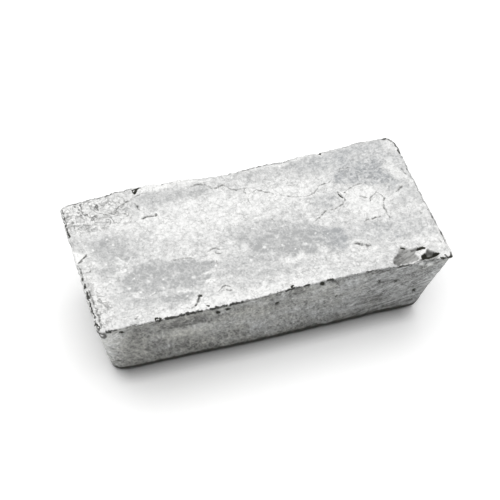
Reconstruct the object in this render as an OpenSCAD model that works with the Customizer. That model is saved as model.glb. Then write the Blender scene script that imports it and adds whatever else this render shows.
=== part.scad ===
// Cast tellurium ingot: a drafted bar poured in an open mould. A rough crust froze
// against the rim of the mould, the top face sank and waved as it shrank, one end
// has a notch in its rim, and the front right corner has lost a flake of metal.
// X runs along the bar, Y runs from front to back, and Z runs up from the middle
// of the flat base.

/* [Bar] */
// Length over the rim
top_length = 200; // [140:1:280]
// Width over the rim
top_width = 96; // [76:1:130]
// Height from the base to the crest of the rim
height = 62; // [40:1:75]
// Draft of the two end walls, in degrees from upright
end_draft = 10; // [3:0.5:16]
// Draft of the two long walls, in degrees from upright
side_draft = 15; // [3:0.5:18]

/* [Corners] */
// Radius of the front right corner at the rim
front_right_radius = 2; // [1:0.5:10]
// Radius of the back right corner at the rim
back_right_radius = 8; // [1:0.5:12]
// Radius of the back left corner at the rim
back_left_radius = 6; // [1:0.5:12]
// Radius of the front left corner at the rim
front_left_radius = 3; // [1:0.5:10]
// Radius of both left corners at the base
base_left_radius = 9; // [3:0.5:12]
// Radius of both right corners at the base
base_right_radius = 3.5; // [2:0.5:12]
// Radius where the walls turn into the base
base_edge_radius = 4; // [1:0.5:6]

/* [Rim] */
// Height of the crust along the rim
crust_height = 3; // [1:0.5:6]
// How far the crust stands out from the wall
crust_overhang = 1; // [0.2:0.1:2]
// How far the front rim pulls in at its waist
front_waist = 2; // [0:0.1:4]
// Distance of the front waist from mid length, towards the right
front_waist_offset = 30; // [-40:1:40]
// How far the back rim pulls in at its waist
back_waist = 3.4; // [0:0.1:5]
// Distance of the back waist from mid length, towards the right
back_waist_offset = -10; // [-40:1:40]
// Depth of the ripples along the rim
ripple_depth = 0.8; // [0:0.1:1.5]
// Distance from one ripple to the next
ripple_length = 23; // [12:1:40]

/* [Top face] */
// Depth of the shrinkage dish below the rim
dish_depth = 1.2; // [0:0.1:3]
// Height of the waves in the dish
wave_height = 0.6; // [0:0.1:1.5]
// Distance from one wave to the next
wave_length = 52; // [30:1:90]

/* [Notch in the left rim] */
// Distance of the notch from mid width, towards the back
notch_offset = 5.5; // [-20:0.5:20]
// Width of the notch at the rim
notch_width = 9; // [3:0.5:14]
// Reach of the notch in from the end
notch_reach = 6; // [2:0.5:9]
// Slope of the notch down to the end wall, in degrees
notch_slope = 35; // [15:1:60]

/* [Flake lost at the front right corner] */
// Distance of the scar from the right end
flake_setback = 14; // [10:0.5:30]
// Length of the scar along the front rim
flake_length = 19; // [8:0.5:30]
// Reach of the scar in from its front line
flake_reach = 12; // [6:0.5:18]
// Width of rim left standing in front of the scar and the pocket
flake_margin = 3; // [2:0.5:5]
// Depth of the scar below the crest of the rim
flake_depth = 2; // [1.5:0.1:4]
// Length of the pocket beside the scar
pocket_length = 10; // [4:0.5:11]
// Reach of the pocket in from its front line
pocket_reach = 5; // [3:0.5:10]
// Depth of the pocket below the crest of the rim
pocket_depth = 4; // [2:0.5:6]

/* [Chip in the back rim] */
// Distance of the chip from mid length, towards the left
chip_offset = 55; // [20:1:60]
// Length of the chip along the rim
chip_length = 6; // [2:0.5:10]
// Depth of the chip below the crest of the rim
chip_depth = 2; // [1:0.5:4]
// Reach of the chip in from the back rim
chip_reach = 2; // [1:0.5:4]

/* [Hidden] */
// Steps round each corner, along each end and long side, up the wall, round the
// foot and the crust, and from the rim to mid face
corner_steps = 5;
end_steps = 14;
side_steps = 30;
wall_steps = 6;
bend_steps = 4;
face_steps = 12;
// The rim is straight this far from each corner
corner_room = 12;
// Room by which a cut runs past the surface that it opens
spare = 3;
// Two corner radii leave at least this much straight wall between them
least_wall = 3;
// The dish reaches its full depth at one part in this many of the way in
dish_run = 3;
// The wall takes this share of the rim's waists at its top, and none at its foot
wall_share = 0.5;
// How far a wave's turns are bent, in degrees, and how much slower the bend is
bend_angle = 70;
bend_ratio = 2.3;
// Where the ripples of the back and of the right end start, in degrees
back_start = 130;
right_start = 200;
// The waves across the face are this many times as long as the ones along it
cross_ratio = 0.7;
// Thickness of the slips of metal that span the notch's cutter
slip = 0.01;
silver = [0.74, 0.76, 0.77];
wall_top = height - crust_height;

function blend(a, b, share) = a + (b - a) * share;

// A wave from 0 to 1 whose turns are bent, so that no two look alike
function swell(turn, bend) = 0.5 + sin(turn + bend_angle * sin(bend)) / 2;

// Points of a quarter turn round a centre
function arc(centre, radius, start) =
    [for (k = [0:corner_steps])
        let (angle = start + 90 * k / corner_steps)
        centre + radius * [cos(angle), sin(angle)]];

// Points strictly between p and q
function between(p, q, steps) = [for (k = [1:steps - 1]) blend(p, q, k / steps)];

// A rectangle of half length a and half width b, counterclockwise, with its own
// radius at each corner: r = [front right, back right, back left, front left]
function rounded_outline(a, b, r) =
    let (
        front_right = arc([a - r[0], r[0] - b], r[0], -90),
        back_right = arc([a - r[1], b - r[1]], r[1], 0),
        back_left = arc([r[2] - a, b - r[2]], r[2], 90),
        front_left = arc([r[3] - a, r[3] - b], r[3], 180)
    )
    concat(
        front_right, between(front_right[corner_steps], back_right[0], end_steps),
        back_right, between(back_right[corner_steps], back_left[0], side_steps),
        back_left, between(back_left[corner_steps], front_left[0], end_steps),
        front_left, between(front_left[corner_steps], front_right[0], side_steps)
    );

// 1 at a waist, falling to 0 at limit on either side of the middle
function waist_share(along, offset, limit) =
    let (end = along > offset ? limit : -limit)
    max(0, 1 - pow((along - offset) / (end - offset), 2));

// How far a long side lies inside its straight line at x: a waist and ripples,
// both nothing at the corners, so that the overall width holds
function side_pull(x, front) =
    let (
        waist = front ? front_waist : back_waist,
        offset = front ? front_waist_offset : back_waist_offset,
        share = waist_share(x, offset, top_length / 2 - corner_room),
        turn = 360 * x / ripple_length + (front ? 0 : back_start)
    )
    waist * share + ripple_depth * sqrt(share) * swell(turn, turn / bend_ratio);

// How far an end lies inside its straight line at y: ripples only
function end_pull(y, left) =
    let (
        share = waist_share(y, 0, top_width / 2 - corner_room),
        turn = 360 * y / ripple_length + (left ? 0 : right_start)
    )
    ripple_depth * share * swell(turn, turn / bend_ratio);

// One ring of the body at height z: the drafted wall, moved out by grow, with a
// share of the rim's waists and ripples
function wall_ring(z, grow, share) =
    let (
        drop = max(0, wall_top - z),
        a = top_length / 2 - crust_overhang - drop * tan(end_draft) + grow,
        b = top_width / 2 - crust_overhang - drop * tan(side_draft) + grow,
        rim = [front_right_radius, back_right_radius, back_left_radius, front_left_radius],
        base = [base_right_radius, base_right_radius, base_left_radius, base_left_radius],
        up = pow(z / height, 2),
        radii = [for (k = [0:3]) min(blend(base[k], rim[k], up), b - least_wall / 2)]
    )
    [for (p = rounded_outline(a, b, radii)) [
        p.x * (1 - 2 * share * end_pull(p.y, p.x < 0) / top_length),
        p.y * (1 - 2 * share * side_pull(p.x, p.y < 0) / top_width),
        z
    ]];

// Rings round the foot, up the wall and round the crust, to the crest of the rim
function body_rings() =
    concat(
        [for (k = [0:bend_steps - 1])
            let (turn = 90 * k / bend_steps)
            wall_ring(base_edge_radius * (1 - cos(turn)), base_edge_radius * (sin(turn) - 1), 0)],
        [for (k = [0:wall_steps])
            wall_ring(blend(base_edge_radius, wall_top, k / wall_steps), 0, wall_share * k / wall_steps)],
        [for (k = [1:bend_steps])
            let (turn = 180 * k / bend_steps)
            wall_ring(wall_top + crust_height * (1 - cos(turn)) / 2, crust_overhang * sin(turn), 1)]
    );

// Height of the top face: level at the rim, and a waved dish further in
function face_height(p, inward) =
    let (
        along = swell(360 * p.x / wave_length, 360 * p.y / wave_length),
        across = swell(360 * p.y / (cross_ratio * wave_length), 360 * p.x / (bend_ratio * wave_length))
    )
    height - (dish_depth + wave_height * (along + across) / 2) * sin(90 * min(1, dish_run * inward));

// Rings of the top face, shrinking from the crest of the rim to mid face
function face_rings() =
    [for (k = [0:face_steps - 1])
        let (share = 1 - k / face_steps)
        [for (p = wall_ring(height, 0, 1))
            [p.x * share, p.y * share, face_height([p.x, p.y] * share, k / face_steps)]]];

// Rings joined into a closed solid, with a middle point under the first of them
// and another over the last
module closed_body(rings) {
    count = len(rings[0]);
    last = len(rings) - 1;
    middles = [[0, 0, 0], [0, 0, face_height([0, 0], 1)]];
    points = concat([for (ring = rings) each ring], middles);
    base_middle = len(points) - 2;
    face_middle = len(points) - 1;
    faces = [
        for (i = [0:count - 1])
            let (n = (i + 1) % count)
            each [
                [base_middle, i, n],
                for (j = [0:last - 1]) each [
                    [j * count + i, (j + 1) * count + i, (j + 1) * count + n],
                    [j * count + i, (j + 1) * count + n, j * count + n]
                ],
                [face_middle, last * count + n, last * count + i]
            ]
    ];
    polyhedron(points, faces, convexity = 6);
}

// A straight-sided cut through the rim: an outline sunk by depth below the crest
module rim_cut(outline, depth) {
    translate([0, 0, height - depth])
        linear_extrude(depth + spare)
            polygon(outline);
}

// A V-shaped groove that opens the left rim and slopes down to the end wall
module notch() {
    run = notch_reach + crust_overhang + spare;
    half = notch_width / 2 * run / notch_reach;
    rise = run * tan(notch_slope);
    translate([notch_reach - top_length / 2, notch_offset, height])
        hull() {
            cube([slip, slip, spare]);
            translate([-run, -half, 0]) cube([slip, 2 * half, spare]);
            translate([-run, 0, -rise]) cube([slip, slip, spare]);
        }
}

// A shallow scar where a flake of the top skin has come away
module flake_scar() {
    far = flake_length;
    reach = flake_reach;
    translate([top_length / 2 - flake_setback - far, flake_margin - top_width / 2, 0])
        rim_cut([
            [0.15 * far, 0], [0, 0.3 * reach], [0, 0.55 * reach], [0.35 * far, 0.9 * reach],
            [0.45 * far, reach], [0.6 * far, 0.8 * reach], [far, 0.7 * reach], [0.8 * far, 0.2 * reach]
        ], flake_depth);
}

// A deeper three-sided pocket between the scar and the corner
module pocket() {
    translate([top_length / 2 - flake_setback, flake_margin - top_width / 2, 0])
        rim_cut([
            [-0.2 * pocket_length, 0], [0.3 * pocket_length, pocket_reach], [0.8 * pocket_length, 0]
        ], pocket_depth);
}

// A small bite out of the back rim
module back_chip() {
    rim = top_width / 2 - side_pull(-chip_offset, false);
    translate([-chip_offset, rim, 0])
        rim_cut([
            [-chip_length / 2, 0], [-chip_length / 5, -chip_reach], [chip_length / 2, 0],
            [chip_length, spare], [-chip_length, spare]
        ], chip_depth);
}

module ingot() {
    color(silver)
        difference() {
            closed_body(concat(body_rings(), face_rings()));
            notch();
            flake_scar();
            pocket();
            back_chip();
        }
}

ingot();
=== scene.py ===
import math
import bpy
import numpy as np
from mathutils import Matrix, Vector


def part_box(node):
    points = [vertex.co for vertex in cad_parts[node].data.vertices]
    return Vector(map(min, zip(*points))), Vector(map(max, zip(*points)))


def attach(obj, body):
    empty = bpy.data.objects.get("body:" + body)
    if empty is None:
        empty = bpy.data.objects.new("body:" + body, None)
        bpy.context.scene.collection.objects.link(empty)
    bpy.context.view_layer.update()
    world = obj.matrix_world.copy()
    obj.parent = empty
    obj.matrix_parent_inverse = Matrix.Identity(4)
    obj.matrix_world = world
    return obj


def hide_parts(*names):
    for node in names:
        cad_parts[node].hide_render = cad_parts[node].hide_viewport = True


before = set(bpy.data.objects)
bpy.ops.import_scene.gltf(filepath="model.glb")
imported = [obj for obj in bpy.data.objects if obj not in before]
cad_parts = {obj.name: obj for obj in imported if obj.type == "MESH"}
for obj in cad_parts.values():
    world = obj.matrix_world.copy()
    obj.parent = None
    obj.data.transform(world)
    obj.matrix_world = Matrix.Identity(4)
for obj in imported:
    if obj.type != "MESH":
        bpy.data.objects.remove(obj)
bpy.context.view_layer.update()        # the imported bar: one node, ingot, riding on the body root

lowCorner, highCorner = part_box("ingot")
mm = 0.001               # shapes are worked out in millimetres and made metres at the end


# A number from 0 to 1 for each cell of a lattice: its whole coordinates times large odd
# numbers are added, folded on themselves by shifts and multiplied once more.
def latticeRandom(ix, iy, iz, seed):
    mixed = (ix * 374761393 + iy * 668265263 + iz * 1442695041 + seed * 974634777) & 0xFFFFFFFF
    mixed = ((mixed ^ (mixed >> 13)) * 1274126177) & 0xFFFFFFFF
    mixed = mixed ^ (mixed >> 16)
    return (mixed & 0xFFFFFF) / 0xFFFFFF


# Smooth noise from about -1 to 1: at each of the eight lattice corners round a point stands a
# random slope; the eight planes of those slopes are blended by 6t^5 - 15t^4 + 10t^3.
def smoothNoise(x, y, z, size, seed):
    px, py, pz = x / size, y / size, z / size
    fx, fy, fz = np.floor(px), np.floor(py), np.floor(pz)
    tx, ty, tz = px - fx, py - fy, pz - fz
    ix, iy, iz = fx.astype(np.int64), fy.astype(np.int64), fz.astype(np.int64)
    wx, wy, wz = (t * t * t * (t * (6 * t - 15) + 10) for t in (tx, ty, tz))
    total = np.zeros_like(px)
    for dx in (0, 1):
        for dy in (0, 1):
            for dz in (0, 1):
                corner = (ix + dx, iy + dy, iz + dz)
                slopes = [2 * latticeRandom(*corner, seed + k) - 1 for k in range(3)]
                plane = slopes[0] * (tx - dx) + slopes[1] * (ty - dy) + slopes[2] * (tz - dz)
                share = (wx if dx else 1 - wx) * (wy if dy else 1 - wy) * (wz if dz else 1 - wz)
                total += share * plane
    return 1.6 * total


# Sum of smooth noises, each half as large and half as strong as the one before.
def roughNoise(x, y, z, size, octaves, seed):
    total, strength = 0, 1
    for octave in range(octaves):
        total = total + strength * smoothNoise(x, y, z, size / 2 ** octave, seed + 11 * octave)
        strength = strength / 2
    return total


# One listed noise: its strength, size, number of octaves and seed.
def listedNoise(x, y, z, listed):
    strength, size, octaves, seed = listed
    return strength * roughNoise(x, y, z, size, octaves, seed)


# Flat cells with one jittered seed each: returns, per point, the distance to the nearest seed
# and that seed's own random number.
def cellNoise(x, y, size, seed):
    px, py = x / size, y / size
    ix, iy = np.floor(px).astype(np.int64), np.floor(py).astype(np.int64)
    nearest = np.full(px.shape, np.inf)
    owner = np.zeros(px.shape)
    for dx in (-1, 0, 1):
        for dy in (-1, 0, 1):
            cx, cy = ix + dx, iy + dy
            sx = cx + latticeRandom(cx, cy, cx * 0, seed)
            sy = cy + latticeRandom(cx, cy, cx * 0, seed + 1)
            away = np.hypot(px - sx, py - sy)
            owner = np.where(away < nearest, latticeRandom(cx, cy, cx * 0, seed + 2), owner)
            nearest = np.minimum(nearest, away)
    return nearest * size, owner


# 0 below low, 1 above high and 3t^2 - 2t^3 between them.
def step(value, low, high):
    t = np.clip((value - low) / (high - low), 0, 1)
    return t * t * (3 - 2 * t)


# Distance from each point to a line of straight pieces, and the share of the line's length
# at the nearest place on it.
def distanceToPath(x, y, path):
    best = np.full(x.shape, np.inf)
    place = np.zeros(x.shape)
    lengths = [math.dist(p, q) for p, q in zip(path[:-1], path[1:])]
    gone = 0
    for (ax, ay), (bx, by), length in zip(path[:-1], path[1:], lengths):
        t = np.clip(((x - ax) * (bx - ax) + (y - ay) * (by - ay)) / length ** 2, 0, 1)
        away = np.hypot(x - ax - t * (bx - ax), y - ay - t * (by - ay))
        place = np.where(away < best, (gone + t * length) / sum(lengths), place)
        best = np.minimum(best, away)
        gone += length
    return best, place


# How far inside a closed outline each point is: the distance to its nearest side, positive
# inside, where a ray to the right crosses the outline an odd number of times.
def depthInOutline(x, y, outline):
    away, _ = distanceToPath(x, y, outline + outline[:1])
    odd = np.zeros(x.shape, bool)
    for (ax, ay), (bx, by) in zip(outline, outline[1:] + outline[:1]):
        crosses = (ay > y) != (by > y)
        reach = ax + (y - ay) * (bx - ax) / (by - ay if by != ay else 1)
        odd ^= crosses & (x < reach)
    return np.where(odd, away, -away)


bar = {
    "length": (highCorner.x - lowCorner.x) / mm,   # over the rim
    "width": (highCorner.y - lowCorner.y) / mm,
    "height": (highCorner.z - lowCorner.z) / mm,
    "endDraft": 10.0,            # degrees from upright
    "sideDraft": 15.0,
    "crustHeight": 3.0,          # rough band along the rim
    "crustOverhang": 1.0,
    "inset": 0.05,               # room left for roughness inside the overall sizes
    "headroom": 0.1,
    "crestInset": 0.5,
    "rimRadii": (1.2, 8.0, 6.0, 3.0),    # front right, back right, back left, front left
    "baseRadii": (1.5, 2.5, 9.0, 6.5),
    "baseEdgeRadius": 3.0,
    "facesAlong": 360,           # of the top face, both divisible by four
    "facesAcross": 172,
    "wallRows": 40,
    "wallStart": 4.2,            # how far below the top the rows of the wall begin
    "wallGather": 1.35,          # above 1 the rows stand closer together near the rim
    "wallPull": 0.5,             # share of the rim's pull at the top of the wall
    "calmHeight": 3.0,           # the roughness of the wall fades out below this
    "baseBendRows": 6,
    "baseInset": 2.0,            # of the flat base inside the bend of the foot
    "frontRightPush": 1.3,       # how far the base of the right end reaches out near the front
    "biteEnd": 2.4,              # how far down the crust the chip in the left rim goes
    "biteFade": 24,              # powers with which the chip and the pull fade inwards
    "pullFade": 3,
    # raggedness of the rim: noises as strength, size, octaves and seed, then middle, most and how
    # much calmer the right half is
    "rimTeeth": (1, 3.6, 3, 941),
    "rimNicks": (0.3, 1.6, 1, 971),
    "raggedMiddle": 0.2,
    "raggedMost": 1.2,
    "raggedCalm": 0.55,
    "raggedReach": 4.0,          # how far inwards the top face follows it
    # how far the rim lies inside its straight line: (place along the edge, pull)
    "frontPull": ((-98, 0), (-20, 0.1), (-8, 0.5), (0, 1.1), (10, 1.7), (38, 2.0), (60, 1.4), (66, 0.9),
        (76, 0.4), (98, 0)),
    "backPull": ((-97, 3.6), (-86, 3.4), (-67, 1.1), (-54, 0.5), (-44, 0.9), (-40, 1.8), (-30, 1.5),
        (-16, 4.0), (-7, 4.7), (3, 4.3), (17, 3.0), (31, 3.4), (41, 2.0), (51, 2.4), (70, 1.5), (76, 0.2),
        (90, 0.9), (95, 0)),
    "leftPull": ((-44, 0.2), (-30, 0), (11, 0.1), (28, 0), (40, 0.2)),
    "notchPull": ((0.6, 0), (5.6, 1.8), (13, 0)),      # a chip out of the left rim
    "footPull": ((-98, 0.9), (-86, 0.9), (-74, 0.2), (-50, 0), (-35, -0.2), (-20, -0.5), (10, -0.65),
        (30, -0.5), (50, -0.2), (64, 0), (98, 0)),
    "rightPull": ((-46, 0), (-34, 0.1), (-12, 0.3), (5, 0.4), (20, 0.6), (31, 0.3), (35, 0), (38, 0.3),
        (43, 0.8)),
}
bar["wallTop"] = bar["height"] - bar["crustHeight"]


# The pull listed for the edge at each place, on straight lines between the listed places.
def listedPull(place, pulls):
    return np.interp(place, [p[0] for p in pulls], [p[1] for p in pulls])


# Plan of the bar at half sizes a and b for grid places u and v from -1 to 1: the place is
# stretched to the half sizes. In each corner's square the larger offset from its inner corner
# becomes the distance from there, which turns the square into a quarter disc. Then both ends
# and both sides are pulled in by the listed amounts times share, and the chip in the left rim
# is taken out as far as bite says.
def planPoint(u, v, a, b, radii, share, bite=0):
    x, y = u * a, v * b
    frontRight, backRight, backLeft, frontLeft = radii
    r = np.where(u > 0, np.where(v > 0, backRight, frontRight), np.where(v > 0, backLeft, frontLeft))
    ox = np.maximum(np.abs(x) - (a - r), 0)
    oy = np.maximum(np.abs(y) - (b - r), 0)
    squeeze = np.maximum(ox, oy) / np.maximum(np.hypot(ox, oy), 1e-9)
    squeeze = np.where((ox > 0) & (oy > 0), squeeze, 1)
    x = np.where(ox > 0, np.sign(x) * (a - r + ox * squeeze), x)
    y = np.where(oy > 0, np.sign(y) * (b - r + oy * squeeze), y)
    endPull = np.where(u < 0, listedPull(y, bar["leftPull"]), listedPull(y, bar["rightPull"]))
    sidePull = np.where(v < 0, listedPull(x, bar["frontPull"]), listedPull(x, bar["backPull"]))
    x = x + bite * np.clip(-u, 0, 1) ** bar["biteFade"] * listedPull(y, bar["notchPull"])
    x = x - np.sign(u) * np.abs(u) ** bar["pullFade"] * share * endPull
    return x, y - np.sign(v) * np.abs(v) ** bar["pullFade"] * share * sidePull


# Push of the base outwards at its front right corner, fading along the end and the front.
def cornerPush(u, v):
    return bar["frontRightPush"] * step(u, 0.6, 1) * (1 - step(v, -1, 0.4))


# Half sizes and corner radii of the wall at height z: drafted inwards towards the base.
def wallPlan(z):
    drop = max(0, bar["wallTop"] - z)
    lost = bar["inset"] + bar["crustOverhang"]
    a = bar["length"] / 2 - lost - drop * math.tan(math.radians(bar["endDraft"]))
    b = bar["width"] / 2 - lost - drop * math.tan(math.radians(bar["sideDraft"]))
    up = (z / bar["height"]) ** 2
    radii = [low + (high - low) * up for low, high in zip(bar["baseRadii"], bar["rimRadii"])]
    return a, b, radii


# Grid places round the outside of a grid of n by m faces, counterclockwise from the front left.
def rimOrder(n, m):
    along, across = np.arange(n), np.arange(m)
    i = np.concatenate([along, np.full(m, n), n - along, np.zeros(m, int)])
    j = np.concatenate([np.zeros(n, int), across, np.full(n, m), m - across])
    return i, j


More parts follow.
